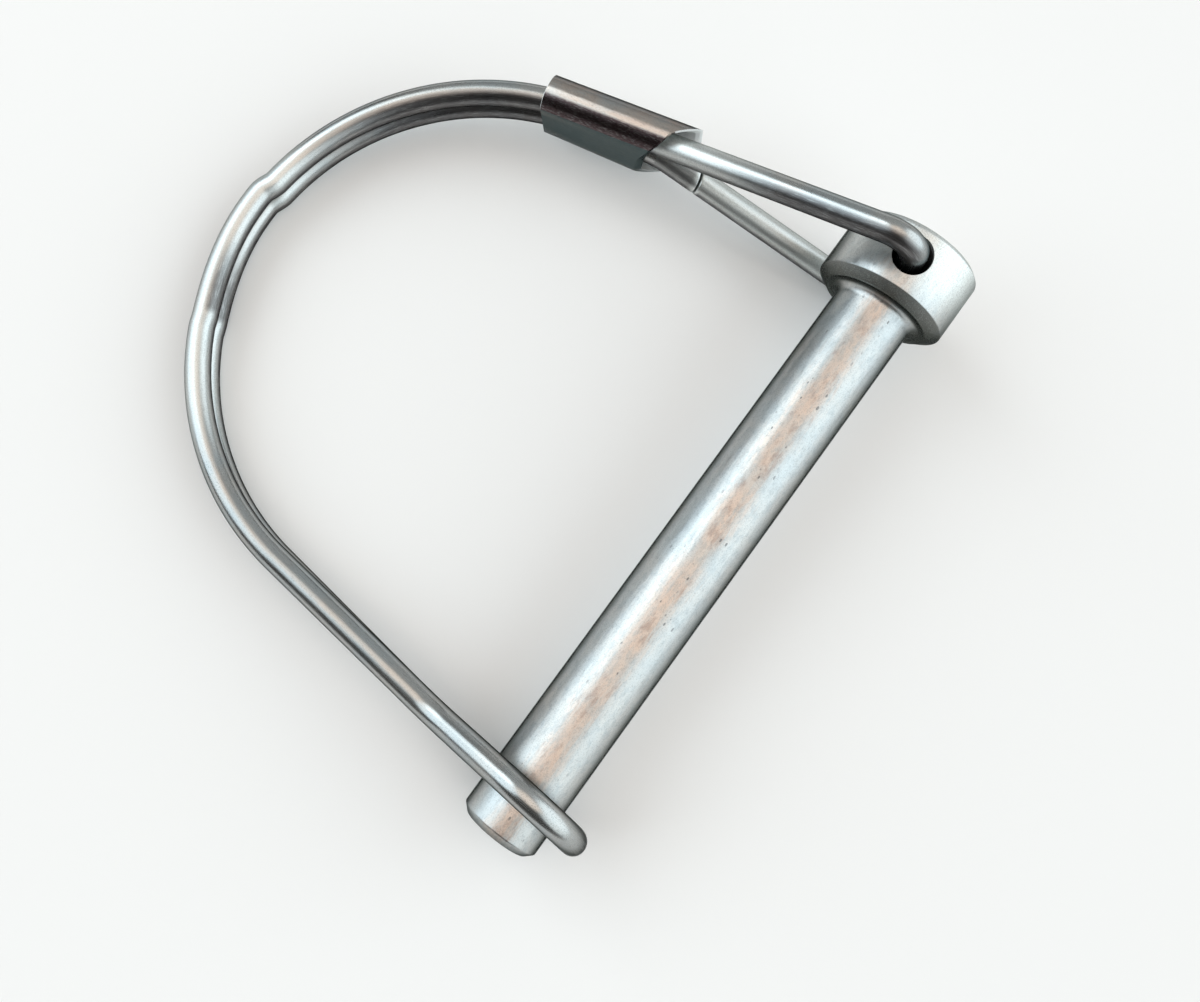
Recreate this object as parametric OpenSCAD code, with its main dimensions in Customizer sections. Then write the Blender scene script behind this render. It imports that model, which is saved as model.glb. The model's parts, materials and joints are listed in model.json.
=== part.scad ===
/* [Pin] */
// Diameter of the shank
shank_d = 8; // [6:0.1:10]
// Length of the pin from the seat under its head to its tip
grip_len = 61.7; // [50:0.1:90]
// Length of the bevel at the tip
tip_bevel = 0.7; // [0.3:0.1:1.5]
// Radius of the fillet between the shank and the head
root_r = 0.8; // [0.3:0.1:1.2]
// Diameter of the head
head_d = 13.3; // [13.1:0.1:20]
// Height of the head above its seat
head_h = 7.3; // [6.5:0.1:12]
// Width of the turned seat ring from the shank to its edge
seat_w = 1.5; // [1.3:0.05:1.5]
// Height of the cone from the seat ring out to the head's rim
under_bevel = 0.75; // [0.3:0.05:1.5]
// Size of the chamfer round the head's end face
head_chamfer = 0.5; // [0.2:0.1:1]
// Diameter of the cross hole through the head
hole_d = 3.7; // [3.3:0.1:4.4]
// Distance of the cross hole from the seat
hole_x = 4.1; // [3.4:0.1:4.6]

/* [Bail wire] */
// Diameter of the wire
wire_d = 2.7; // [2:0.1:3]
// Bend radius of the two hooks, at the wire's centre
hook_r = 2.5; // [2.2:0.1:3]
// Gap between the head and the straight wire inside each hook
hook_gap = 0; // [0:0.1:1]
// Distance of the sleeve's mouth from the pin's axis
mouth_y = 27; // [22:0.5:34]
// How far the mouth lies back from the cross hole towards the tip
mouth_back = 2.1; // [0:0.1:5]
// Height of the bow's corner on the head's side above the pin's axis
bow_h_head = 58; // [46:0.2:70]
// Height of the bow's corner on the tip's side above the pin's axis
bow_h_tip = 56.8; // [46:0.2:70]
// How far the head's corner lies back from the cross hole
bow_in_head = 8; // [3:0.1:12]
// How far the tip's corner lies in from the loop
bow_in_tip = 6; // [3:0.1:12]
// Lean of the bow's long side, as a slope
run_slope = 0.106; // [0:0.002:0.15]
// How far the rear strand runs inside the front one on the long side
strand_step = 0.3; // [0:0.05:0.6]
// Distance of the loop's centre from the pin's tip
loop_in = 3.8; // [2.5:0.1:8]
// Gap between the loop and the shank
loop_gap = 0.65; // [0.6:0.05:1.5]
// Gap between the two strands of the bow
strand_gap = 0.1; // [0.05:0.05:0.4]
// Angle at which the strands close up beside the shank
pinch = 25; // [15:1:35]
// Slant of the loop, front strand towards the head, as a slope
loop_slant = 0.15; // [0:0.01:0.2]
// Radius of the easy bends at the mouth and where the strands meet
ease_r = 9; // [5:1:15]
// Place of the butt joint along the rear leg, from the hook to the mouth
seam_at = 0.8; // [0.5:0.05:0.85]
// Width of the butt joint
seam_gap = 0.15; // [0.05:0.05:0.4]

/* [Sleeve] */
// Wall of the sleeve
sleeve_wall = 0.45; // [0.3:0.05:1]
// Clearance between the wire and the sleeve
sleeve_gap = 0.35; // [0.35:0.01:0.6]
// Length of the sleeve past the mouth on the bow's side
sleeve_len = 12.4; // [8:0.2:12.6]
// Distance from the mouth to the sleeve's short side
sleeve_short = 1.7; // [0:0.1:3]
// How much farther the long side reaches towards the head
sleeve_slant = 5.6; // [3:0.1:6]
// Spread of the sleeve's round sides at the bow end, from its middle
sleeve_c_bow = 2; // [1.6:0.05:2.4]
// Spread of the sleeve's round sides at the head end, from its middle
sleeve_c_head = 2.75; // [2.5:0.05:3.4]

/* [Hidden] */
$fn = 64;
// Surfaces that would only touch are set this far apart
hair = 0.01;
// How far a bend of the wire reaches into the straights at its ends
bend_reach = 0.1;

wire_r = wire_d / 2;
strand_z = wire_r + strand_gap / 2;
seat_d = shank_d + 2 * seat_w;
sleeve_ri = wire_r + sleeve_gap;
sleeve_ro = sleeve_ri + sleeve_wall;

// The hooks turn the wire from the cross hole to the slope of the legs
mouth = [hole_x - mouth_back, mouth_y];
leg_run = norm([mouth_back, mouth_y]);
hook_out = head_d / 2 + hook_gap;
function hook_top(drop) = hook_out + hook_r * tan(45 + drop / 2);
function leg_drop(tries) =
    tries == 0 ? 0 : atan((hook_top(leg_drop(tries - 1)) - strand_z) / leg_run);
hook_z = hook_top(leg_drop(9));

// The loop goes round the shank and the strands close up at its side
loop_x = loop_in - grip_len;
loop_r = shank_d / 2 + loop_gap + wire_r;
loop_z = loop_r * tan(45 + pinch / 2);
pinch_y = (loop_z - strand_z) / tan(pinch) - loop_r;
function run_x(y) = loop_x + bow_in_tip + run_slope * (y - bow_h_tip);

// Points of one strand from the hook to the loop: side is 1 in front and -1 at the rear
function strand(side) =
    [
        [hole_x, 0, side * hook_z],
        [mouth[0], mouth[1], side * strand_z],
        [hole_x - bow_in_head, bow_h_head, side * strand_z],
        [run_x(bow_h_tip) - side * strand_step / 2, bow_h_tip, side * strand_z],
        [run_x(pinch_y) + side * loop_slant * strand_z, pinch_y, side * strand_z],
        [loop_x + side * loop_slant * loop_z, -loop_r, side * loop_z]
    ];
front = strand(1);
rear = strand(-1);

function unit(v) = v / norm(v);
function across(v) = unit(cross(v, abs(v[2]) < 0.9 ? [0, 0, 1] : [1, 0, 0]));
function turned_round(list) = [for (i = [len(list) - 1:-1:0]) list[i]];
// Half the bend at corner i of a path
function half_bend(pts, i) = acos(unit(pts[i] - pts[i - 1]) * unit(pts[i + 1] - pts[i])) / 2;
// How far a bend of radius bends[i] starts before its corner
function set_back(pts, bends, i) = bends[i] == 0 ? 0 : bends[i] * tan(half_bend(pts, i));

// The bow's radius is the largest that leaves the inner strand a short straight at the middle
bow_r = 0.99 * norm(front[3] - front[2]) / (tan(half_bend(front, 2)) + tan(half_bend(front, 3)));
// The loop's bends are a little tighter than the loop, which leaves a short straight at its end
loop_bend = 0.96 * loop_r;
strand_bends = [hook_r, ease_r, bow_r, bow_r, ease_r, loop_bend];

// The wire starts and ends at a butt joint in the rear leg
seam = rear[0] + (rear[1] - rear[0]) * seam_at;
seam_half = unit(rear[1] - rear[0]) * seam_gap / 2;
wire_points = concat(
    [seam + seam_half],
    [for (i = [1:5]) rear[i]],
    turned_round(front),
    [rear[0], seam - seam_half]
);
wire_bends = concat(
    [0],
    [for (i = [1:5]) strand_bends[i]],
    turned_round(strand_bends),
    [hook_r, 0]
);

// The locked pin lies on its rear hook, its loop and its bow, so it leans two ways
low_hook = [hole_x, hook_r, -hook_out - hook_r];
low_loop = [loop_x, 0, -loop_bend - (loop_r - loop_bend) * loop_z / loop_r];
low_bow = (rear[2] + rear[3]) / 2 + bow_r * [-0.4, -0.09, 0];
lie_up = cross(low_hook - low_loop, low_bow - low_loop);
lie_roll = atan(lie_up[1] / lie_up[2]);
lie_pitch = -atan(lie_up[0] / norm([lie_up[1], lie_up[2]]));

// Puts its children in a frame given by two perpendicular directions and a place
module placed(x_dir, y_dir, at) {
    z_dir = cross(x_dir, y_dir);
    multmatrix([
        [x_dir[0], y_dir[0], z_dir[0], at[0]],
        [x_dir[1], y_dir[1], z_dir[1], at[1]],
        [x_dir[2], y_dir[2], z_dir[2], at[2]],
        [0, 0, 0, 1]
    ]) children();
}

// A round wire along straight lines, bent to a radius at each corner
module bent_wire(pts, bends, d) {
    for (i = [0:len(pts) - 2]) {
        along = unit(pts[i + 1] - pts[i]);
        start = pts[i] + along * set_back(pts, bends, i);
        end = pts[i + 1] - along * set_back(pts, bends, i + 1);
        placed(across(along), cross(along, across(along)), start)
            cylinder(d = d, h = norm(end - start));
        if (i < len(pts) - 2) {
            away = unit(pts[i + 2] - pts[i + 1]);
            inward = unit(away - along * (along * away));
            reach = atan(bend_reach / bends[i + 1]);
            placed(-inward, along, end + inward * bends[i + 1])
                rotate([0, 0, -reach])
                    rotate_extrude(angle = 2 * (half_bend(pts, i + 1) + reach))
                        translate([bends[i + 1], 0])
                            circle(d = d - 2 * hair);
        }
    }
}

// Leans its children so that the locked pin lies on its side, about the shank's end at the head
module lying() {
    rotate([lie_roll, lie_pitch, 0]) translate([root_r, 0, 0]) children();
}

// A cylinder or cone along the pin's axis
module turned(x0, x1, d0, d1) {
    translate([x0, 0, 0]) rotate([0, 90, 0]) cylinder(d1 = d0, d2 = d1, h = x1 - x0);
}

module root_fillet() {
    difference() {
        turned(-root_r, 0, shank_d + 2 * root_r, shank_d + 2 * root_r);
        translate([-root_r, 0, 0])
            rotate([0, 90, 0])
                rotate_extrude()
                    translate([shank_d / 2 + root_r, 0])
                        circle(r = root_r);
    }
}

module pin() {
    color([0.80, 0.82, 0.82])
        lying()
            difference() {
                union() {
                    turned(-grip_len, tip_bevel - grip_len, shank_d - 2 * tip_bevel, shank_d);
                    turned(tip_bevel - grip_len, 0, shank_d, shank_d);
                    root_fillet();
                    turned(0, under_bevel, seat_d, head_d);
                    turned(under_bevel, head_h - head_chamfer, head_d, head_d);
                    turned(head_h - head_chamfer, head_h, head_d, head_d - 2 * head_chamfer);
                }
                translate([hole_x, 0, 0]) cylinder(d = hole_d, h = head_d + 2, center = true);
            }
}

module wire_bail() {
    color([0.72, 0.75, 0.75]) lying() bent_wire(wire_points, wire_bends, wire_d);
}

// A flared oblong bar along z: two round sides that lean apart, with flat sides between
module oblong(r, z0, z1) {
    spread = (sleeve_c_head - sleeve_c_bow) / (sleeve_len + sleeve_slant - sleeve_short);
    c0 = sleeve_c_bow + spread * (sleeve_len - z0);
    c1 = sleeve_c_bow + spread * (sleeve_len - z1);
    for (side = [-1, 1])
        placed([1, 0, 0], unit([0, z1 - z0, side * (c0 - c1)]), [0, side * c0, z0])
            cylinder(r = r, h = norm([z1 - z0, c1 - c0]));
    rotate([0, -90, 0])
        linear_extrude(2 * (r - hair), center = true)
            polygon([[z0, -c0], [z1, -c1], [z1, c1], [z0, c0]]);
}

// The sleeve starts at the mouth, with z along the strands and x away from the bow's inside
module ferrule() {
    mouth_at = (front[1] + rear[1]) / 2;
    bow_foot = (front[2] + rear[2]) / 2;
    to_bow = unit(bow_foot - mouth_at);
    mouth_mid = sleeve_short - sleeve_slant / 2;
    z0 = mouth_mid - sleeve_slant;
    z1 = sleeve_len + 2;
    color([0.70, 0.72, 0.72])
        lying()
            placed(cross(to_bow, [0, 0, 1]), [0, 0, -1], mouth_at)
                intersection() {
                    difference() {
                        oblong(sleeve_ro, z0, z1);
                        oblong(sleeve_ri, z0 - 1, z1 + 1);
                    }
                    rotate([90, 0, 0])
                        linear_extrude(8 * sleeve_ro, center = true)
                            polygon([
                                [-2 * sleeve_ro, mouth_mid + sleeve_slant],
                                [2 * sleeve_ro, mouth_mid - sleeve_slant],
                                [2 * sleeve_ro, sleeve_len],
                                [-2 * sleeve_ro, sleeve_len]
                            ]);
                }
}

pin();
wire_bail();
ferrule();
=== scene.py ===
"""Looks for the quick release pin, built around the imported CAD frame.

Three pieces of bright zinc-plated steel: the turned pin, the wire bail (one wire, from
butt joint to butt joint) and the folded sleeve that holds the bail's two strands.
Sizes are in millimetres in the part's own frame: x along the pin from the seat under its
head, y towards the bow, z along the cross hole. The first groups are those of the CAD
source, apart from SEAM_AT, which follows the photograph more closely.
"""

import json
import math

import bmesh
import bpy
from mathutils import Matrix, Vector


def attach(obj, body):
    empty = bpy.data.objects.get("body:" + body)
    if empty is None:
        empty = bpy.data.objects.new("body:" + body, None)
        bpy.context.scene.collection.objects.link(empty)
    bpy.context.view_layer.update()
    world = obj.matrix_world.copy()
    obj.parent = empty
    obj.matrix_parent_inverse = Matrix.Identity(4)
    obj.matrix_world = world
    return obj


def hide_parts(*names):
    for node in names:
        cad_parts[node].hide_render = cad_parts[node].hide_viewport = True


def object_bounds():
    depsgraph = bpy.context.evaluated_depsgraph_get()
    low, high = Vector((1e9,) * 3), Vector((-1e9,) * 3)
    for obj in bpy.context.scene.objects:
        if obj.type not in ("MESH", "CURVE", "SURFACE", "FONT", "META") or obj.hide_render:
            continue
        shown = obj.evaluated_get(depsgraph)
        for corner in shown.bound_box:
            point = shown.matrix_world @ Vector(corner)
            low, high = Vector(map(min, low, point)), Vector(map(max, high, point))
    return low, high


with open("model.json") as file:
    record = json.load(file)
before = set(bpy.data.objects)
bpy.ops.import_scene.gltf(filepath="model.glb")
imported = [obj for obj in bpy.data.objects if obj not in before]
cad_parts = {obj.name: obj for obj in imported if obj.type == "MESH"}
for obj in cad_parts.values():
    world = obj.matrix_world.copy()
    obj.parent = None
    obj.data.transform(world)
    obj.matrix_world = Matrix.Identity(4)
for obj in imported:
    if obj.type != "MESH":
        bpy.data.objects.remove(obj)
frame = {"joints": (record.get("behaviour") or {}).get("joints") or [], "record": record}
cad_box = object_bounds()

MM = 0.001
Z_WAY = Vector((0, 0, 1))

# Pin
SHANK_R = 4.0
GRIP_LEN = 61.7
TIP_BEVEL = 0.7
ROOT_R = 0.8
HEAD_R = 6.65
HEAD_H = 7.3
SEAT_W = 1.5
UNDER_BEVEL = 0.75
HEAD_CHAMFER = 0.5
HOLE_R = 1.85
HOLE_X = 4.1

# Bail wire
WIRE_R = 1.35
HOOK_R = 2.5
MOUTH = Vector((2.0, 27.0))
BOW_HEAD = Vector((-3.9, 58.0))
BOW_H_TIP = 56.8
BOW_IN_TIP = 6.0
RUN_SLOPE = 0.106
STRAND_STEP = 0.3
STRAND_GAP = 0.1
LOOP_IN = 3.8
LOOP_GAP = 0.65
LOOP_SLANT = 0.15
PINCH = math.radians(25)
EASE_R = 9.0
SEAM_AT = 0.83
SEAM_GAP = 0.15

# Sleeve
SLEEVE_WALL = 0.45
SLEEVE_GAP = 0.35
SLEEVE_LEN = 12.4
SLEEVE_SHORT = 1.7
SLEEVE_SLANT = 5.6
SLEEVE_C_BOW = 2.0
SLEEVE_C_HEAD = 2.75

# The part lies on its side: its x is against the shank mount's axis, its z against the hinge's
x_dir = -Vector(frame["record"]["mounts"][0]["axis"]).normalized()
z_dir = -Vector(frame["joints"][0]["axis"]).normalized()
y_dir = z_dir.cross(x_dir).normalized()
LIE = Matrix((x_dir, y_dir, z_dir)).transposed().to_4x4()
LIE @= Matrix.Translation((ROOT_R * MM, 0, 0))


# ---------------------------------------------------------------- camera

CAMERA_AT = Vector((-46.30, 11.35, 113.53)) * MM
CAMERA_AIM = Vector((0.14764, 0.10930, -0.98298))
CAMERA_UP = Vector((0.78604, 0.59025, 0.18369))
LENS = 36.0
SENSOR = 36.0
SHIFT = (0.0888, -0.0787)
NEAREST = 0.005

camera_data = bpy.data.cameras.new("camera")
camera_data.sensor_width = SENSOR
camera_data.lens = LENS
camera_data.shift_x, camera_data.shift_y = SHIFT
camera_data.clip_start = NEAREST
camera = bpy.data.objects.new("camera", camera_data)
bpy.context.scene.collection.objects.link(camera)
back = -CAMERA_AIM.normalized()
right = CAMERA_UP.cross(back).normalized()
camera_turn = Matrix((right, back.cross(right), back)).transposed().to_4x4()
camera.matrix_world = Matrix.Translation(CAMERA_AT) @ camera_turn
bpy.context.scene.camera = camera
bpy.context.scene.view_settings.view_transform = "Standard"


# ---------------------------------------------------------------- shader helpers

class Nodes:
    """Adds nodes to one tree; inputs are given by name or index, as values or sockets."""

    def __init__(self, tree):
        self.tree = tree
        tree.nodes.clear()

    def add(self, kind, inputs=None, **settings):
        node = self.tree.nodes.new(kind)
        for name, value in settings.items():
            setattr(node, name, value)
        for key, value in (inputs or {}).items():
            if isinstance(value, bpy.types.NodeSocket):
                self.tree.links.new(value, node.inputs[key])
            else:
                node.inputs[key].default_value = value
        return node

    def attribute(self, name, output):
        return self.add("ShaderNodeAttribute", attribute_name=name).outputs[output]

    def stretched(self, vector, scale):
        return self.add("ShaderNodeMapping", {"Vector": vector, "Scale": scale}).outputs[0]

    def noise(self, vector, scale, detail, roughness=0.5):
        return self.add(
            "ShaderNodeTexNoise",
            {"Vector": vector, "Scale": scale, "Detail": detail, "Roughness": roughness},
        ).outputs[0]

    def math(self, operation, a, b=0.0):
        return self.add("ShaderNodeMath", {0: a, 1: b}, operation=operation).outputs[0]

    def product(self, a, b):
        return self.math("MULTIPLY", a, b)

    def between(self, value, low, high, start=0.0, end=1.0):
        """value from low to high, smoothly turned into start to end."""
        return self.add(
            "ShaderNodeMapRange",
            {0: value, 1: low, 2: high, 3: start, 4: end},
            interpolation_type="SMOOTHSTEP",
        ).outputs[0]

    def mix(self, factor, a, b):
        """Colour a turning into colour b as the factor goes from 0 to 1."""
        a, b = ((*shade, 1) if isinstance(shade, tuple) else shade for shade in (a, b))
        return self.add("ShaderNodeMix", {0: factor, 6: a, 7: b}, data_type="RGBA").outputs[2]


def new_material(name):
    """An empty material and the nodes of its tree."""
    material = bpy.data.materials.new(name)
    material.use_nodes = True
    return material, Nodes(material.node_tree)


# ---------------------------------------------------------------- floor and light

FLOOR_SIZE = 6.0
FLOOR_COLOUR = (0.86, 0.84, 0.825)
FLOOR_ROUGH = 0.9

floor_z = cad_box[0][2]
half_floor = FLOOR_SIZE / 2
floor_corners = [
    (-half_floor, -half_floor, floor_z),
    (half_floor, -half_floor, floor_z),
    (half_floor, half_floor, floor_z),
    (-half_floor, half_floor, floor_z),
]
floor_mesh = bpy.data.meshes.new("floor")
floor_mesh.from_pydata(floor_corners, [], [(0, 1, 2, 3)])
floor = bpy.data.objects.new("floor", floor_mesh)
bpy.context.scene.collection.objects.link(floor)
floor_material, n = new_material("floor")
paper = n.add(
    "ShaderNodeBsdfPrincipled",
    {"Base Color": (*FLOOR_COLOUR, 1), "Roughness": FLOOR_ROUGH},
)
n.add("ShaderNodeOutputMaterial", {"Surface": paper.outputs[0]})
floor_mesh.materials.append(floor_material)

# Soft patches of the room: azimuth, elevation, inner and outer radius in degrees, colour
ROOM_DARK = (0.075, 0.072, 0.068)
ROOM_PATCHES = [
    (8, 36, 15, 62, (0.48, 0.50, 0.50)),
    (-92, 34, 18, 42, (1.42, 1.54, 1.57)),
    (-57, 30, 25, 40, (1.72, 1.90, 1.98)),
    (106, 38, 28, 36, (1.68, 1.90, 2.02)),
    (0, 90, 12, 33, (1.52, 1.33, 1.18)),
]
BACKDROP = (0.84, 0.85, 0.85)
BACKDROP_TOP = 0.10

world = bpy.data.worlds.new("room")
bpy.context.scene.world = world
world.use_nodes = True
n = Nodes(world.node_tree)
aim = n.add("ShaderNodeTexCoord").outputs["Generated"]
colour = ROOM_DARK
for azimuth, elevation, inner, outer, patch in ROOM_PATCHES:
    az, el = math.radians(azimuth), math.radians(elevation)
    middle = (math.cos(el) * math.cos(az), math.cos(el) * math.sin(az), math.sin(el))
    facing = n.add("ShaderNodeVectorMath", {0: aim, 1: middle}, operation="DOT_PRODUCT")
    edge, core = math.cos(math.radians(outer)), math.cos(math.radians(inner))
    colour = n.mix(n.between(facing.outputs["Value"], edge, core), colour, patch)
# The pale backdrop behind the floor's edge, seen by the camera and low down by the metal too
ray = n.add("ShaderNodeLightPath")
height = n.add("ShaderNodeSeparateXYZ", {0: aim}).outputs["Z"]
low = n.between(height, BACKDROP_TOP, 0.0)
seen = n.math("MAXIMUM", ray.outputs["Is Glossy Ray"], ray.outputs["Is Transmission Ray"])
seen = n.math("MAXIMUM", n.product(seen, low), ray.outputs["Is Camera Ray"])
sky = n.add("ShaderNodeBackground", {"Color": n.mix(seen, colour, BACKDROP), "Strength": 1.0})
n.add("ShaderNodeOutputWorld", {"Surface": sky.outputs[0]})

# One soft lamp in place of the window, aimed at the middle of the part; these are in metres
WINDOW_AT = Vector((0.05, 0.42, 0.42))
WINDOW_AIM = Vector((-0.025, 0.02, 0))
WINDOW_SIZE = 0.30
WINDOW_WATTS = 0.35
WINDOW_TINT = (0.95, 1.0, 1.0)

window_data = bpy.data.lights.new("window", "AREA")
window_data.size = WINDOW_SIZE
window_data.energy = WINDOW_WATTS
window_data.color = WINDOW_TINT
window = bpy.data.objects.new("window", window_data)
bpy.context.scene.collection.objects.link(window)
window.location = WINDOW_AT
window.rotation_euler = (WINDOW_AIM - WINDOW_AT).to_track_quat("-Z", "Y").to_euler()


# ---------------------------------------------------------------- plated steel

# Shades that a material's tone is applied to
COOL = (0.44, 0.47, 0.475)
PALE = (0.48, 0.48, 0.465)
# PEACH is the colour of the painted warm reflection along the top
PEACH = (0.51, 0.44, 0.39)
GREY = (0.15, 0.15, 0.15)
FROSTED = (0.76, 0.79, 0.77)
CLOUDY = (0.31, 0.345, 0.36)

# Shades that it isn't
STAIN = (0.30, 0.235, 0.21)
EDGE_TINT = (0.10, 0.11, 0.11)

# Noise patterns in the plate: scale per millimetre, detail and, where it isn't 0.5, roughness
LINES = (3.2, 5.0, 0.6)
SCRATCHES = (13.0, 3.0)
CLOUD = (0.22, 4.0)
FROST = (9.0, 3.0)
PATCHES = (0.5, 4.0)
MOTTLE = (1.9, 9.0, 0.78)
BLOTCHES = (0.9, 8.0, 0.72)

# Ranges on a pattern, or on the angle off the top in radians, and what they turn into
PALE_CLOUDS = (0.35, 0.65)
TOP_WANDER = (0.3, 0.7, -0.16, 0.16)
BAND_ANGLE = (0.50, 0.05)
BAND_CLOUDS = (0.30, 0.62, 0.35, 1.0)
LINE_DARK = (0.42, 0.22, 0.0, 0.30)
FROST_DARK = (0.48, 0.72, 0.0, 0.38)
FROST_SHARE = (0.35, 0.65, 0.9, 0.5)
SCRATCH_SHARE = (0.50, 0.70, 1.0, 0.62)
ROUGH_LINES = (0.25, 0.75)
PIT_EDGE = (0.03, -0.05)
PIT_PATCHES = (0.44, 0.60)
PIT_ANGLE = (0.80, 0.30, 0.25, 1.0)
MOTTLE_SHARE = (0.46, 0.62, 0.0, 0.5)
STAIN_BLOTCHES = (0.50, 0.66)
STAIN_ANGLE = (0.50, 0.12)

SPOT_STRETCH = (0.5, 1.0, 1.0)
PIT_CELLS = 2.6
PIT_RARITY = 3.0
LARGEST_PIT = 0.34
STAIN_STRENGTH = 0.6
WORN_ROUGH = 0.08
SATIN_ROUGH = 0.15
LINE_HEIGHT = 0.7
FROST_HEIGHT = 0.3


def blemishes(n, flow, off_top, speck, cloudy, dark, colour):
    """The dark share with pits added, and the colour with mottled and stained patches."""
    spots = n.stretched(flow, SPOT_STRETCH)
    cells = n.add("ShaderNodeTexVoronoi", {"Vector": spots, "Scale": PIT_CELLS})
    chance = n.add("ShaderNodeSeparateColor", {0: cells.outputs["Color"]}).outputs[0]
    size = n.product(n.math("POWER", chance, PIT_RARITY), LARGEST_PIT)
    pits = n.between(n.math("SUBTRACT", cells.outputs["Distance"], size), *PIT_EDGE)
    pits = n.product(pits, n.between(n.noise(flow, *PATCHES), *PIT_PATCHES))
    pits = n.product(pits, n.between(off_top, *PIT_ANGLE))
    dark = n.math("MAXIMUM", dark, n.product(pits, speck))
    mottle = n.between(n.noise(spots, *MOTTLE), *MOTTLE_SHARE)
    colour = n.mix(mottle, colour, cloudy)
    stained = n.between(n.noise(spots, *BLOTCHES), *STAIN_BLOTCHES)
    stained = n.product(stained, n.between(off_top, *STAIN_ANGLE))
    colour = n.mix(n.product(stained, STAIN_STRENGTH * speck), colour, STAIN)
    return dark, colour


def zinc(
    name, rough, rough_spread, streak, grain, dark_shade, tone=1.0, band=0.0, speck=0.0
):
    """Bright zinc plate. The "flow" attribute holds (along, across, across) in millimetres.

    streak: how long the drawing or turning lines are; grain: depth of the bump in metres;
    tone: overall shade; band: strength of the painted warm reflection along the top; speck:
    strength of the small dark pits and stains. The attribute of wear and painted shade turns the
    plate to dark_shade and duller, and that of frosting and painted light turns it frosted and
    pale.
    """
    def toned(shade):
        return tuple(c * tone for c in shade)

    material, n = new_material(name)
    flow = n.attribute("flow", "Vector")
    worn = n.attribute("worn", "Fac")
    frost_and_light = n.attribute("frost_and_light", "Fac")
    drawn = n.stretched(flow, (1.0 / streak, 1.0, 1.0))
    lines = n.noise(drawn, *LINES)
    scratches = n.noise(drawn, *SCRATCHES)
    cloud = n.noise(flow, *CLOUD)
    frost = n.noise(flow, *FROST)

    colour = n.mix(n.between(cloud, *PALE_CLOUDS), toned(COOL), toned(PALE))
    parts = n.add("ShaderNodeSeparateXYZ", {0: flow})
    angle = n.math("ARCTAN2", parts.outputs["Y"], parts.outputs["Z"])
    off_top = n.math("ADD", n.math("ABSOLUTE", angle), n.between(lines, *TOP_WANDER))
    # The warm band along the top is a painted reflection of the warm light from above
    if band:
        warm = n.product(n.between(off_top, *BAND_ANGLE), n.between(cloud, *BAND_CLOUDS))
        colour = n.mix(n.product(warm, band), colour, toned(PEACH))
    dark = n.math("MAXIMUM", n.between(lines, *LINE_DARK), n.between(frost, *FROST_DARK))
    if speck:
        dark, colour = blemishes(n, flow, off_top, speck, toned(CLOUDY), dark, colour)
    colour = n.mix(dark, colour, toned(GREY))
    # Frosting turns the plate pale; on the head's side away from the bow and at the wire's cut
    # ends this paleness is painted light
    frosting = n.product(frost_and_light, n.between(frost, *FROST_SHARE))
    colour = n.mix(frosting, colour, toned(FROSTED))
    # Real wear where the wire was pressed, and painted shade everywhere else, turn the plate to
    # dark_shade
    worn = n.product(worn, n.between(scratches, *SCRATCH_SHARE))
    colour = n.mix(worn, colour, dark_shade)

    roughness = n.between(lines, *ROUGH_LINES, rough - rough_spread, rough + rough_spread)
    roughness = n.math("ADD", roughness, n.product(worn, WORN_ROUGH))
    roughness = n.math("ADD", roughness, n.product(frost_and_light, SATIN_ROUGH))
    height = n.math("ADD", n.product(lines, LINE_HEIGHT), n.product(frost, FROST_HEIGHT))
    bump = n.add("ShaderNodeBump", {"Strength": 1.0, "Distance": grain, "Height": height})
    steel = n.add(
        "ShaderNodeBsdfPrincipled",
        {
            "Base Color": colour,
            "Metallic": 1.0,
            "Roughness": roughness,
            "Specular Tint": (*EDGE_TINT, 1),
            "Normal": bump.outputs[0],
        },
    )
    n.add("ShaderNodeOutputMaterial", {"Surface": steel.outputs[0]})
    return material


# ---------------------------------------------------------------- piece helpers

# Edges that turn by more degrees than this are drawn sharp
PIN_SHARP = 38
SLEEVE_SHARP = 14


def set_layer(mesh, name, values):
    """Stores a value for each vertex, as a number or as a vector."""
    if isinstance(values[0], tuple):
        layer = mesh.attributes.new(name, "FLOAT_VECTOR", "POINT")
        layer.data.foreach_set("vector", [c for value in values for c in value])
    else:
        layer = mesh.attributes.new(name, "FLOAT", "POINT")
        layer.data.foreach_set("value", values)


def new_piece(name, verts, faces, material, **layers):
    """A smooth mesh piece from points in millimetres in the part's own frame."""
    mesh = bpy.data.meshes.new(name)
    mesh.from_pydata([tuple(v * MM for v in p) for p in verts], [], faces)
    mesh.validate()
    for label, values in layers.items():
        set_layer(mesh, label, values)
    mesh.materials.append(material)
    mesh.shade_smooth()
    piece = bpy.data.objects.new(name, mesh)
    bpy.context.scene.collection.objects.link(piece)
    return piece


def settle(piece, body, node):
    """Lays the piece down with the part, gives it its body and hides the CAD node that it stands
    in for.
    """
    piece.data.transform(LIE)
    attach(piece, body)
    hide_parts(node)


def smooth_step(value, low, high):
    """0 below low, 1 above high, and a smooth rise between them."""
    t = min(max((value - low) / (high - low), 0.0), 1.0)
    return t * t * (3 - 2 * t)


def rise(value, span, past=0.0):
    """The smooth rise over a span whose two ends are measured from past."""
    return smooth_step(value, past + span[0], past + span[1])


def fall(value, span, past=0.0):
    """The same as rise, from 1 down to 0."""
    return 1 - rise(value, span, past)


def even(start, end, step):
    """Numbers from start to end, about a step apart."""
    count = max(1, round(abs(end - start) / step))
    return [start + (end - start) * i / count for i in range(count + 1)]


# ---------------------------------------------------------------- pin

# A rounded corner takes up no more than this much of the line on either side of it
CORNER_SHARE = 0.45


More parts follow.
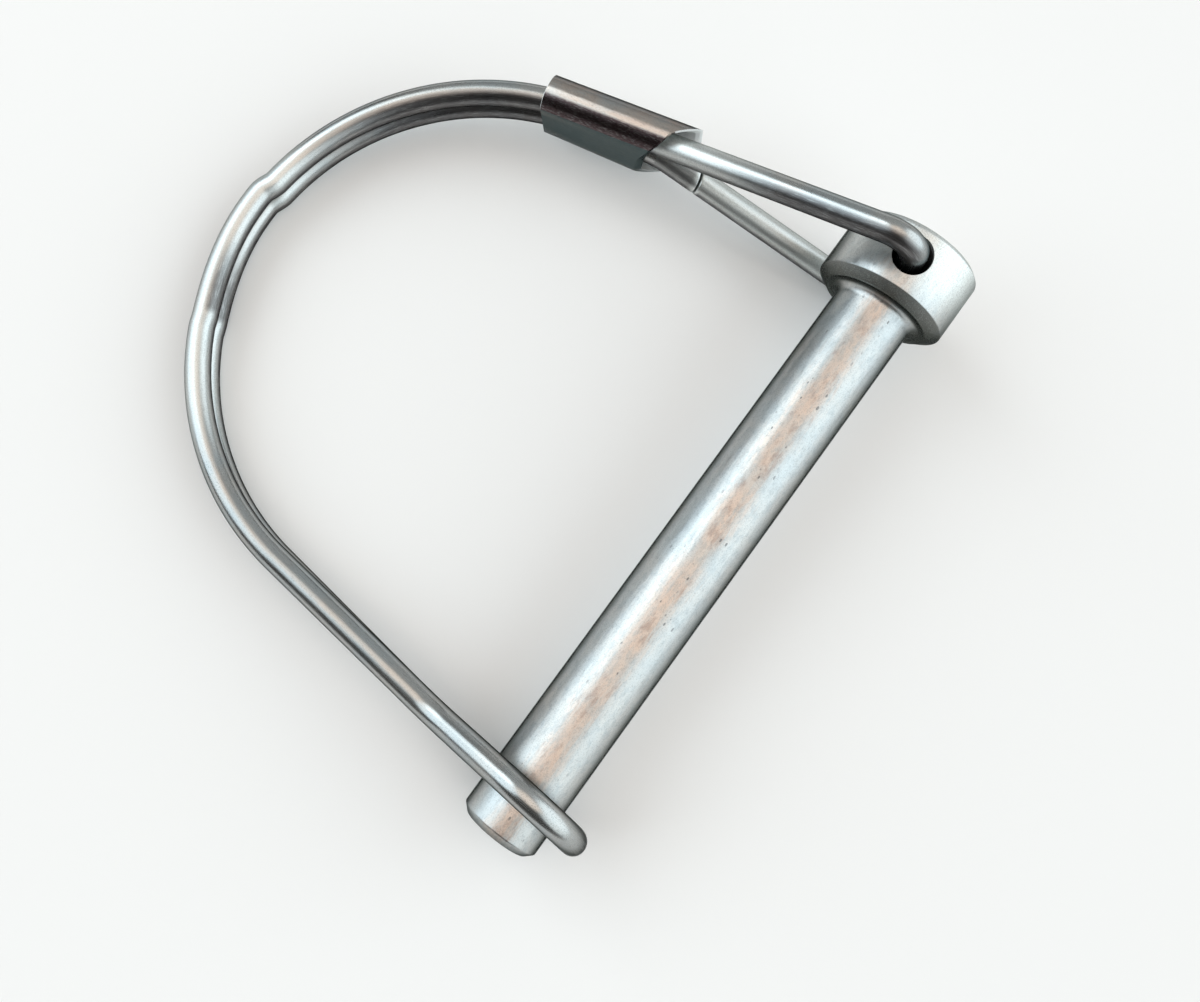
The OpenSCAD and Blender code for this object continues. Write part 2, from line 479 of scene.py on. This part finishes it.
def arc(cx, cr, radius, start, end, steps):
    """Points (x, r) of a profile arc; angles in degrees from the x direction."""
    turns = [math.radians(start + (end - start) * i / steps) for i in range(steps + 1)]
    return [(cx + radius * math.cos(a), cr + radius * math.sin(a)) for a in turns]


def rounded(points, radius, steps=3):
    """The profile with each inner corner replaced by a small arc-like curve."""
    out = [points[0]]
    for before, corner, after in zip(points, points[1:], points[2:]):
        p, c, q = Vector(before), Vector(corner), Vector(after)
        a, b = p - c, q - c
        r = min(radius, CORNER_SHARE * a.length, CORNER_SHARE * b.length)
        start, end = c + a.normalized() * r, c + b.normalized() * r
        for i in range(steps + 1):
            t = i / steps
            out.append(tuple(start * (1 - t) ** 2 + c * 2 * t * (1 - t) + end * t * t))
    out.append(points[-1])
    return out


# Fine turning that the CAD leaves out: eased edges, a centre mark in each end face (its depth,
# then the radii of its floor and its edge), and a low lip round the seat under the head, whose
# corners are LIP_BACK in from the seat's own edge
TIP_EDGE = 0.10
SEAT_EDGE = 0.08
END_EDGE = 0.12
TIP_MARK = (0.06, 0.6, 0.9)
END_MARK = (0.12, 0.7, 1.0)
LIP_HEIGHT = 0.03
LIP_FALL = 0.04
LIP_BACK = (0.3, 0.2, 0.02)

# The lathe's rings: how far in from the corners the even ones start and stop, and their step
SEGMENTS = 160
SHANK_FROM = 3.0
SHANK_STEP = 1.5
ROOT_STEPS = 8
HEAD_FROM = 1.0
HEAD_TO = 0.5
HEAD_STEP = 0.35
CHAMFER_FROM = 0.2

tip = -GRIP_LEN


def pin_outline():
    """The pin's half section as (x, radius), from the tip's centre to the end of the head."""
    depth, floor_r, edge_r = TIP_MARK
    shank_from = tip + SHANK_FROM
    tip_end = [
        (tip + depth, 0.0),
        (tip + depth, floor_r),
        (tip, edge_r),
        (tip, SHANK_R - TIP_BEVEL),
        (tip + TIP_BEVEL, SHANK_R),
        (shank_from, SHANK_R),
    ]
    seat_r = SHANK_R + SEAT_W
    side_from = UNDER_BEVEL + HEAD_FROM
    seat = [
        (0.0, seat_r - LIP_BACK[0]),
        (-LIP_HEIGHT, seat_r - LIP_BACK[1]),
        (-LIP_HEIGHT, seat_r - LIP_BACK[2]),
        (LIP_FALL, seat_r),
        (UNDER_BEVEL, HEAD_R),
        (side_from, HEAD_R),
    ]
    depth, floor_r, edge_r = END_MARK
    side_to = HEAD_H - HEAD_CHAMFER
    head_end = [
        (side_to - CHAMFER_FROM, HEAD_R),
        (side_to, HEAD_R),
        (HEAD_H, HEAD_R - HEAD_CHAMFER),
        (HEAD_H, edge_r),
        (HEAD_H - depth, floor_r),
        (HEAD_H - depth, 0.0),
    ]
    return (
        rounded(tip_end, TIP_EDGE)
        + [(x, SHANK_R) for x in even(shank_from, -ROOT_R, SHANK_STEP)][1:]
        + arc(-ROOT_R, SHANK_R + ROOT_R, ROOT_R, -90, 0, ROOT_STEPS)[1:]
        + rounded(seat, SEAT_EDGE)
        + [(x, HEAD_R) for x in even(side_from, side_to - HEAD_TO, HEAD_STEP)][1:]
        + rounded(head_end, END_EDGE)
    )


def lathe(outline):
    """A closed solid turned about x; the outline starts and ends on the axis."""
    turns = [2 * math.pi * k / SEGMENTS for k in range(SEGMENTS)]
    inner = outline[1:-1]
    verts = [(x, r * math.cos(turn), r * math.sin(turn)) for x, r in inner for turn in turns]
    verts += [(outline[0][0], 0, 0), (outline[-1][0], 0, 0)]
    faces = []
    for i in range(len(inner) - 1):
        for k in range(SEGMENTS):
            a, b = i * SEGMENTS + k, i * SEGMENTS + (k + 1) % SEGMENTS
            faces.append((a, b, b + SEGMENTS, a + SEGMENTS))
    first, last = len(verts) - 2, len(verts) - 1
    top = (len(inner) - 1) * SEGMENTS
    for k in range(SEGMENTS):
        faces.append((first, (k + 1) % SEGMENTS, k))
        faces.append((last, top + k, top + (k + 1) % SEGMENTS))
    return verts, faces


pin_steel = zinc(
    "pin_zinc",
    rough=0.35,
    rough_spread=0.06,
    streak=9.0,
    grain=0.000030,
    tone=1.14,
    band=0.95,
    speck=0.9,
    # The colour of the pin's painted shade
    dark_shade=(0.105, 0.11, 0.10),
)
# The bore's very dark tone is painted shade in the cross hole
bore_steel = zinc(
    "bore_zinc",
    rough=0.5,
    rough_spread=0.05,
    streak=2.0,
    grain=0.000010,
    tone=0.16,
    dark_shade=(0.15, 0.155, 0.15),
)
verts, faces = lathe(pin_outline())
pin = new_piece("turned_pin", verts, faces, pin_steel)

# The cross hole, with its edges eased by the drill; faces this near its wall are the bore's
DRILL_PAST = 1.0
RIM_IN = 0.42
FLARE = 0.5
BORE_NEAR = 0.03
BORE_PAST = 0.05
reach = HEAD_R + DRILL_PAST
rim = HEAD_R - RIM_IN
flare_r = HOLE_R + FLARE
drill = [
    (-reach, 0.0),
    (-reach, flare_r),
    (-rim, HOLE_R),
    (rim, HOLE_R),
    (reach, flare_r),
    (reach, 0.0),
]
verts, faces = lathe(drill)
across_head = [(y + HOLE_X, z, x) for x, y, z in verts]
cutter = new_piece("cutter", across_head, faces, pin_steel)
cut = pin.modifiers.new("hole", "BOOLEAN")
cut.operation = "DIFFERENCE"
cut.solver = "EXACT"
cut.object = cutter
bpy.context.view_layer.update()
depsgraph = bpy.context.evaluated_depsgraph_get()
drilled = bpy.data.meshes.new_from_object(pin.evaluated_get(depsgraph))
pin.modifiers.clear()
pin.data = drilled
bpy.data.objects.remove(cutter)

drilled.materials.append(bore_steel)
for face in drilled.polygons:
    x, y, z = face.center / MM
    if math.hypot(x - HOLE_X, y) < HOLE_R + BORE_NEAR and abs(z) < rim + BORE_PAST:
        face.material_index = 1

# How much painted shade the pin has under its head, at the tip's bevel and along its flanks, of
# which the head's own flank away from the bow gets less, and where each of these starts and is
# full
UNDER_SHADE = 0.97
BEVEL_SHADE = 0.6
FLANK_SHADE = 0.90
HEAD_FLANK = 0.55
FLANK_TILT = (0.22, 0.66)
UNDER_R = (0.3, 0.8)
UNDER_X = (-0.1, 0.1)
RING_NEAR = (0.06, 0.2)
RING_HIGHLIGHT = 0.7
BEVEL_FROM = 0.1
ROUND_FROM = 0.3

# The head's frosting: where it starts, where it is full as a share of the head's height, how
# strong it is on the bow's side, and how much more painted light it gets away from the bow
SATIN_START = -0.5
SATIN_FULL = 0.75
SATIN_BOW_SIDE = 0.55
PAINTED_LIGHT_AWAY = 0.55
AWAY = (-0.35, 0.35)


def pin_painted_shade(x, y, z):
    """Painted shade: the flanks, the turned face under the head and the bevel at the tip are
    darker and duller.
    """
    r = math.hypot(y, z)
    under = rise(r, UNDER_R, SHANK_R) * fall(x, UNDER_X, UNDER_BEVEL)
    # A painted highlight: a lighter ring outside the lip, where the painted shade is lifted
    off_ring = rise(abs(r - SHANK_R - ROOT_R - SEAT_W), RING_NEAR)
    under *= off_ring * RING_HIGHLIGHT + (1 - RING_HIGHLIGHT)
    bevel = 1 - smooth_step(x, tip + BEVEL_FROM, tip + TIP_BEVEL)
    flank = fall(abs(z / r), FLANK_TILT) if r > SHANK_R - ROUND_FROM else 0.0
    if x > UNDER_BEVEL and y < 0:
        flank *= HEAD_FLANK
    return max(UNDER_SHADE * under * (x > -ROOT_R), BEVEL_SHADE * bevel, FLANK_SHADE * flank)


def head_frost_and_light(x, y):
    """The head is frosted towards its end, with painted light making it paler still away from
    the bow.
    """
    up_head = smooth_step(x, SATIN_START, HEAD_H * SATIN_FULL)
    return up_head * (SATIN_BOW_SIDE + PAINTED_LIGHT_AWAY * rise(-y / HEAD_R, AWAY))


places = [tuple(c / MM for c in v.co) for v in drilled.vertices]
set_layer(drilled, "flow", places)
set_layer(drilled, "worn", [pin_painted_shade(*place) for place in places])
set_layer(drilled, "frost_and_light", [head_frost_and_light(x, y) for x, y, _ in places])
drilled.shade_smooth()
drilled.set_sharp_from_angle(angle=math.radians(PIN_SHARP))
settle(pin, "pin", "pin")


# ---------------------------------------------------------------- wire bail

strand_z = WIRE_R + STRAND_GAP / 2
leg_run = math.hypot(HOLE_X - MOUTH.x, MOUTH.y)
loop_x = LOOP_IN - GRIP_LEN
loop_r = SHANK_R + LOOP_GAP + WIRE_R
loop_z = loop_r * math.tan(math.pi / 4 + PINCH / 2)
pinch_y = (loop_z - strand_z) / math.tan(PINCH) - loop_r


def hook_height(drop):
    """z of the hook's corner above the head, where the leg comes in at the angle drop."""
    return HEAD_R + HOOK_R * math.tan(math.pi / 4 + drop / 2)


# The leg's angle and the hook's height follow each other, and settle within a few rounds
HOOK_ROUNDS = 9
drop = 0.0
for _ in range(HOOK_ROUNDS):
    drop = math.atan((hook_height(drop) - strand_z) / leg_run)
hook_z = hook_height(drop)


def run_x(y):
    """x of the bow's straight run to the tip, at a height y."""
    return loop_x + BOW_IN_TIP + RUN_SLOPE * (y - BOW_H_TIP)


def strand(side):
    """Corners of one strand from the hook to the loop: side is 1 in front, -1 at the rear."""
    step = -side * STRAND_STEP / 2
    return [
        Vector((HOLE_X, 0, side * hook_z)),
        Vector((*MOUTH, side * strand_z)),
        Vector((*BOW_HEAD, side * strand_z)),
        Vector((run_x(BOW_H_TIP) + step, BOW_H_TIP, side * strand_z)),
        Vector((run_x(pinch_y) + side * LOOP_SLANT * strand_z, pinch_y, side * strand_z)),
        Vector((loop_x + side * LOOP_SLANT * loop_z, -loop_r, side * loop_z)),
    ]


def half_bend(points, i):
    """Half of the angle that a path turns by at its corner i."""
    a, b = points[i] - points[i - 1], points[i + 1] - points[i]
    return a.angle(b) / 2


# The bow's two bends all but meet, and the loop's corners are a little tighter than the loop
BOW_FILL = 0.99
LOOP_FILL = 0.96

front, rear = strand(1), strand(-1)
bow_span = (front[3] - front[2]).length
bow_r = BOW_FILL * bow_span / (math.tan(half_bend(front, 2)) + math.tan(half_bend(front, 3)))
bends = [HOOK_R, EASE_R, bow_r, bow_r, EASE_R, LOOP_FILL * loop_r]
seam = rear[0].lerp(rear[1], SEAM_AT)
seam_half = (rear[1] - rear[0]).normalized() * SEAM_GAP / 2
corners = [seam + seam_half] + rear[1:] + front[::-1] + [rear[0], seam - seam_half]
radii = [0] + bends[1:] + bends[::-1] + [HOOK_R, 0]

# The path's points are a STEP apart. The wire's ends are rounded by END_EASE, with close rings
# there, and cut askew by SEAM_SKEW
STEP = 0.35
END_EASE = 0.14
END_RINGS = (0.12, 0.35, 0.7, 1.2)
SEAM_SKEW = 0.28


def bent_path(corners, radii):
    """Even points along straight lines that are rounded at each corner."""
    raw = [corners[0]]
    for i in range(1, len(corners) - 1):
        half = half_bend(corners, i)
        along = (corners[i] - corners[i - 1]).normalized()
        away = (corners[i + 1] - corners[i]).normalized()
        inward = (away - along * along.dot(away)).normalized()
        start = corners[i] - along * radii[i] * math.tan(half)
        centre = start + inward * radii[i]
        count = max(3, math.ceil(2 * half * radii[i] / STEP))
        for k in range(count + 1):
            a = 2 * half * k / count
            raw.append(centre - inward * radii[i] * math.cos(a) + along * radii[i] * math.sin(a))
    raw.append(corners[-1])
    path, left = [raw[0]], STEP
    for a, b in zip(raw, raw[1:]):
        length, done = (b - a).length, 0.0
        while length - done > left:
            done += left
            path.append(a.lerp(b, done / length))
            left = STEP
        left -= length - done
    path.append(raw[-1])
    near = [END_EASE * share for share in END_RINGS]
    head = [path[0] + (path[1] - path[0]).normalized() * d for d in near]
    foot = [path[-1] + (path[-2] - path[-1]).normalized() * d for d in near]
    return [path[0]] + head + path[2:-2] + foot[::-1] + [path[-1]]


path = bent_path(corners, radii)
lengths = [0.0]
for a, b in zip(path, path[1:]):
    lengths.append(lengths[-1] + (b - a).length)
total = lengths[-1]


def length_at(target):
    """The length along the wire at the point of its path that is nearest to the target."""
    index = min(range(len(path)), key=lambda i: (path[i] - target).length)
    return lengths[index]


rear_mouth = length_at(rear[1])
front_mouth = length_at(front[1])
turn = length_at(Vector((loop_x, -loop_r, 0)))
leg = (rear[1] - rear[0]).length


def past_mouth(s):
    """How far down the bow a place is from its strand's mouth corner; s is from the seam."""
    return s - rear_mouth if s < turn else front_mouth - s


# The forming tool left a step in both strands and a smaller one further down; between them the
# wire stands out a little and is pressed flatter. Distances are from the mouth.
KINK_START, KINK_END = 43.7, 59.8
KINK_OUT, KINK_IN = 0.50, -0.12
KINK_RUN, KINK_RUN_BACK = 2.0, 1.4
PRESSED_FLAT = 0.07


def kink(d):
    """(outward shift, how pressed the wire is) at a distance down the bow from the mouth."""
    step_out = smooth_step(d, KINK_START, KINK_START + KINK_RUN)
    ease = smooth_step(d, KINK_START + KINK_RUN, KINK_END)
    back = smooth_step(d, KINK_END, KINK_END + KINK_RUN_BACK)
    shift = step_out * (KINK_OUT + (KINK_IN - KINK_OUT) * ease) * (1 - back)
    return shift, step_out * (1 - back)


shifted = []
pressed = []
for i, p in enumerate(path):
    shift, press = kink(past_mouth(lengths[i]))
    ahead = path[min(i + 1, len(path) - 1)] - path[max(i - 1, 0)]
    outward = ahead.cross(Z_WAY).normalized() * (1 if lengths[i] < turn else -1)
    shifted.append(p + outward * shift)
    pressed.append(press)

# The wire's short end, from the seam into the sleeve: how frosted and how tarnished it is
SHORT_END = (0.5, 0.6)

# Elsewhere its finish has spans (from, to) along the wire, and the strength of each where it is
# full. SIDES_TILT is how much a surface points up or down where the painted shade on the sides
# ends; the cut ends get a painted highlight
REAR_LEG = (-3, 1)
FRONT_LEG = (3, 17)
BEFORE_KINK = (-7, 0)
AFTER_KINK = (8, 18)
PRESSED_SATIN = 0.65
PRESSED_WORN = 0.08
SIDES_SHADE = 0.88
SIDES_TILT = (0.12, 0.60)
END_HIGHLIGHT = (0.3, 0.4)
SKEW_END = (0.0, 1.5)

# Painted shade inside the bow: from the sleeve nearly to the first step, just before the second
# step, and down the front leg to the hook. The facing span is how much a surface faces inward.
INWARD_SHADE = 0.85
INWARD_FACING = (0.0, 0.45)
BOW_SHADE = (5, 11)
BOW_SHADE_ENDS = 28
STEP_SHADE = (-10, -3)
STEP_SHADE_ENDS = (-0.6, 0.2)
STEP_SHADE_SHARE = 0.8
LEG_SHADE = (5, 16)
LEG_SHADE_ENDS = (0, 3)


def wire_finish(s):
    """(how frosted, how tarnished) the wire is at a distance along it from the seam."""
    if s < rear_mouth:
        return SHORT_END
    frost_and_light = rise(s, REAR_LEG, total - SEAM_AT * leg)
    if s > front_mouth:
        frost_and_light = max(frost_and_light, fall(s - front_mouth, FRONT_LEG))
    d = past_mouth(s)
    in_bow = rise(d, BEFORE_KINK, KINK_START) * fall(d, AFTER_KINK, KINK_END)
    return max(frost_and_light, PRESSED_SATIN * in_bow), 0.0


def inward_painted_shade(s, inward):
    """How much painted shade a surface gets that faces this much towards the inside of the bow.
    """
    if s > front_mouth:
        near = rise(s - front_mouth, LEG_SHADE) * fall(s - front_mouth, LEG_SHADE_ENDS, leg)
    else:
        d = past_mouth(s)
        near = rise(d, BOW_SHADE) * (1 - smooth_step(d, BOW_SHADE_ENDS, KINK_START))
        before_step = STEP_SHADE_SHARE * rise(d, STEP_SHADE, KINK_END)
        near += before_step * fall(d, STEP_SHADE_ENDS, KINK_END)
    return INWARD_SHADE * near * rise(inward, INWARD_FACING)


SIDES = 32
# How the pressed wire loses its height: most at its top and bottom, hardly at its sides
PRESS_POWER = 3


def wire_mesh():
    """The wire's points and faces along the shifted path, and its plate and painted shade there.
    """
    verts, faces, flow, worn, frost_and_light = [], [], [], [], []
    side_way = None
    for i, p in enumerate(shifted):
        s = lengths[i]
        ahead = (shifted[min(i + 1, len(path) - 1)] - shifted[max(i - 1, 0)]).normalized()
        if side_way is None:
            side_way = ahead.cross(Z_WAY)
        side_way = (side_way - ahead * side_way.dot(ahead)).normalized()
        up_way = side_way.cross(ahead)
        to_inside = ahead.cross(Z_WAY) * (-1 if s < turn else 1)
        from_end = min(s, total - s)
        off_cut = rise(from_end, END_HIGHLIGHT)
        off_round = END_EASE - min(from_end, END_EASE)
        ease = END_EASE - math.sqrt(max(0.0, END_EASE**2 - off_round**2))
        frosted, tarnish = wire_finish(s)
        for k in range(SIDES):
            a = 2 * math.pi * k / SIDES
            cos_a, sin_a = math.cos(a), math.sin(a)
            r = (WIRE_R - ease) * (1 - PRESSED_FLAT * pressed[i] * abs(sin_a) ** PRESS_POWER)
            skew = ahead * SEAM_SKEW * r * cos_a * fall(from_end, SKEW_END)
            verts.append(p + side_way * r * cos_a + up_way * r * sin_a + skew)
            flow.append((s, WIRE_R * cos_a, WIRE_R * sin_a))
            facing = side_way * cos_a + up_way * sin_a
            # Painted shade on the sides, which face neither up nor down
            sides = SIDES_SHADE * fall(abs(facing.z), SIDES_TILT) * (1 - ahead.z**2)
            marks = max(sides, tarnish, inward_painted_shade(s, facing.dot(to_inside)))
            # Near the cut ends the painted shade is lifted and the wire made pale: a painted
            # highlight
            worn.append(marks * off_cut + PRESSED_WORN * pressed[i])
            frost_and_light.append(max(frosted, 1 - off_cut))
        if i:
            row, last = i * SIDES, (i - 1) * SIDES
            for k in range(SIDES):
                j = (k + 1) % SIDES
                faces.append((last + k, row + k, row + j, last + j))
    faces.append(tuple(range(SIDES)))
    faces.append(tuple(len(verts) - 1 - k for k in range(SIDES)))
    return verts, faces, {"flow": flow, "worn": worn, "frost_and_light": frost_and_light}


wire_steel = zinc(
    "wire_zinc",
    rough=0.25,
    rough_spread=0.05,
    streak=14.0,
    grain=0.000006,
    tone=0.98,
    band=0.65,
    # The colour of the wire's painted shade
    dark_shade=(0.08, 0.074, 0.076),
)
verts, faces, finish = wire_mesh()
wire = new_piece("bail_wire", verts, faces, wire_steel, **finish)
settle(wire, "bail", "wire_bail")


# ---------------------------------------------------------------- sleeve

# In the sleeve's own frame x is outward from the bow, y down to the rear strand, z to the bow
mouth_at = (front[1] + rear[1]) / 2
to_bow = ((front[2] + rear[2]) / 2 - mouth_at).normalized()
outward = to_bow.cross(Z_WAY)
inner_r = WIRE_R + SLEEVE_GAP
outer_r = inner_r + SLEEVE_WALL
spread = (SLEEVE_C_HEAD - SLEEVE_C_BOW) / (SLEEVE_LEN + SLEEVE_SLANT - SLEEVE_SHORT)
mouth_mid = SLEEVE_SHORT - SLEEVE_SLANT / 2

# Forms that only the looks have: flats set in, a twisted mouth, one faint crease and a rounded
# rim, whose first and last rings are RIM_FIRST of a step from the skins
FLAT_IN = 0.12
MOUTH_TWIST, MOUTH_TWIST_BACK = 0.42, 0.16
CREASE_AT = 5.0
CREASE_HALF = 0.12
CREASE = 0.010
CREASE_SIDE = (0.45, 0.7)
RIM = 0.10
RIM_FIRST = 0.4

ROUND_STEPS = 20
FLAT_STEPS = 8
ABOVE_MOUTH = 1.3
STATION_STEP = 0.6
MOUTH_STEPS = 12
RIM_STEPS = 3


def half_width(z):
    """How far the rolled sides' centres are from the sleeve's middle at z."""
    return SLEEVE_C_BOW + spread * (SLEEVE_LEN - z)


def section(r, z):
    """Outline (x, y) of the sleeve at z: two round sides, joined by flats set in a little."""
    c = half_width(z)
    flat_x = r - FLAT_IN
    lift = math.acos(flat_x / r)
    edge = c + r * math.sin(lift)
    out = []
    for side in (1, -1):
        for i in range(ROUND_STEPS + 1):
            a = lift + (math.pi - 2 * lift) * i / ROUND_STEPS
            out.append((side * r * math.cos(a), side * (c + r * math.sin(a))))
        for i in range(1, FLAT_STEPS):
            out.append((-side * flat_x, side * edge * (1 - 2 * i / FLAT_STEPS)))
    return out


def mouth_z(x, y):
    """z of the oblique mouth, which reaches farther out at the front of its short side."""
    twist = MOUTH_TWIST if y < 0 else MOUTH_TWIST_BACK
    return mouth_mid - SLEEVE_SLANT / (2 * outer_r) * x - twist * y * min(x, 0) / outer_r


stations = even(SLEEVE_LEN, SLEEVE_SHORT + ABOVE_MOUTH, STATION_STEP)
stations += [CREASE_AT - CREASE_HALF, CREASE_AT, CREASE_AT + CREASE_HALF]
stations.sort(reverse=True)


def skin(r, creased):
    """Rings of points down one skin of the sleeve, from its bow end to the oblique mouth."""
    levels = [(z, 0.0) for z in stations]
    levels += [(stations[-1], (i + 1) / MOUTH_STEPS) for i in range(MOUTH_STEPS)]
    rings = []
    for z, share in levels:
        ring = []
        for k, (x, y) in enumerate(section(r, z)):
            level = z + (mouth_z(x, y) - z) * share
            grow = 1.0
            if creased and z == CREASE_AT:
                grow = 1 + CREASE / r * rise(-x / r, CREASE_SIDE)
            level_x, level_y = section(r, level)[k]
            ring.append(Vector((level_x * grow, level_y * grow, level)))
        rings.append(ring)
    return rings


def rounded_rim(first, last, pull):
    """Rings between the ends of the two skins, standing out along the sleeve by pull."""
    out = []
    for step in range(RIM_STEPS):
        share = (step + RIM_FIRST) / (RIM_STEPS - 1 + 2 * RIM_FIRST)
        bulge = Vector((0, 0, pull * math.sin(math.pi * share)))
        out.append([a.lerp(b, share) + bulge for a, b in zip(first, last)])
    return out


# The sleeve's painted shade: how strong it is, where it runs in millimetres and at which tilt in
# degrees
FLATS_SHADE = 0.8
FLATS_EDGE = (-0.05, 0.05)
BROWN_INWARD = 0.97
BROWN_INWARD_TILT = (-22, -14)
BROWN_INWARD_FROM = (0.3, 0.6)
BROWN_OUTWARD = 0.5
BROWN_OUTWARD_TILT = (12, 42)
BROWN_OUTWARD_FROM = (-0.2, 0.3)
LEAST_PAST = 0.01


def sleeve_painted_shade(p):
    """Painted shade: the flats are darkened to grey, and the rolled front to a painted dark
    brown reflection, most of all towards the bow's inside.
    """
    past = -p.y - half_width(p.z)
    flats = FLATS_SHADE * fall(abs(p.y) - half_width(p.z), FLATS_EDGE)
    tilt = math.degrees(math.atan2(p.x, max(past, LEAST_PAST)))
    inward = BROWN_INWARD * fall(tilt, BROWN_INWARD_TILT) * rise(past, BROWN_INWARD_FROM)
    outward = BROWN_OUTWARD * rise(tilt, BROWN_OUTWARD_TILT) * rise(past, BROWN_OUTWARD_FROM)
    return max(flats, inward, outward)


outer_skin = skin(outer_r, True)
inner_skin = skin(inner_r, False)
loops = (
    rounded_rim(inner_skin[0], outer_skin[0], RIM)
    + outer_skin
    + rounded_rim(outer_skin[-1], inner_skin[-1], -RIM)
    + inner_skin[::-1]
)
points = [p for ring in loops for p in ring]
verts = [mouth_at + outward * p.x - Z_WAY * p.y + to_bow * p.z for p in points]
flow = [(p.z, p.x, -p.y) for p in points]
worn = [sleeve_painted_shade(p) for p in points]
count = len(loops[0])
faces = []
for i in range(len(loops)):
    row, following = i * count, (i + 1) % len(loops) * count
    for k in range(count):
        j = (k + 1) % count
        faces.append((row + k, row + j, following + j, following + k))

# The sleeve's dark_shade is the dark brown of its painted reflection and shade
sleeve_steel = zinc(
    "sleeve_zinc",
    rough=0.19,
    rough_spread=0.05,
    streak=6.0,
    grain=0.000010,
    band=1.0,
    dark_shade=(0.065, 0.042, 0.045),
)
# The flats' lower tone and grey dark_shade are painted shade
flat_steel = zinc(
    "flat_zinc",
    rough=0.27,
    rough_spread=0.05,
    streak=6.0,
    grain=0.000006,
    tone=0.7,
    dark_shade=(0.165, 0.20, 0.205),
)

# The inside of the strip is frosted and pale: painted light standing in for its lit inner wall
HAZE = (2.5, 4.0)
HAZE_ROUGH = (0.3, 0.7, 0.35, 0.55)
HAZE_SHADES = ((0.90, 0.93, 0.93), (0.96, 0.97, 0.96))
inside, n = new_material("sleeve_inside_painted_light")
haze = n.noise(n.attribute("flow", "Vector"), *HAZE)
matt = n.add(
    "ShaderNodeBsdfPrincipled",
    {
        "Base Color": n.mix(haze, *HAZE_SHADES),
        "Roughness": n.between(haze, *HAZE_ROUGH),
    },
)
n.add("ShaderNodeOutputMaterial", {"Surface": matt.outputs[0]})

sleeve = new_piece("folded_sleeve", verts, faces, sleeve_steel, flow=flow, worn=worn)
sleeve.data.materials.append(flat_steel)
sleeve.data.materials.append(inside)
# The outer skin is plated steel, and so is the mouth's rim on the short side; the rest of the
# rim gets the pale inside, a painted highlight
outside = range(RIM_STEPS, RIM_STEPS + len(outer_skin) - 1)
for face in sleeve.data.polygons:
    ring, k = divmod(face.index, count)
    on_flat = k % (ROUND_STEPS + FLAT_STEPS) >= ROUND_STEPS
    on_rim = outside.stop <= ring <= outside.stop + RIM_STEPS
    if ring in outside or (on_rim and loops[ring][k].x <= 0):
        face.material_index = int(on_flat)
    else:
        face.material_index = 2
clean = bmesh.new()
clean.from_mesh(sleeve.data)
bmesh.ops.recalc_face_normals(clean, faces=clean.faces)
clean.to_mesh(sleeve.data)
clean.free()
sleeve.data.set_sharp_from_angle(angle=math.radians(SLEEVE_SHARP))
settle(sleeve, "bail", "ferrule")
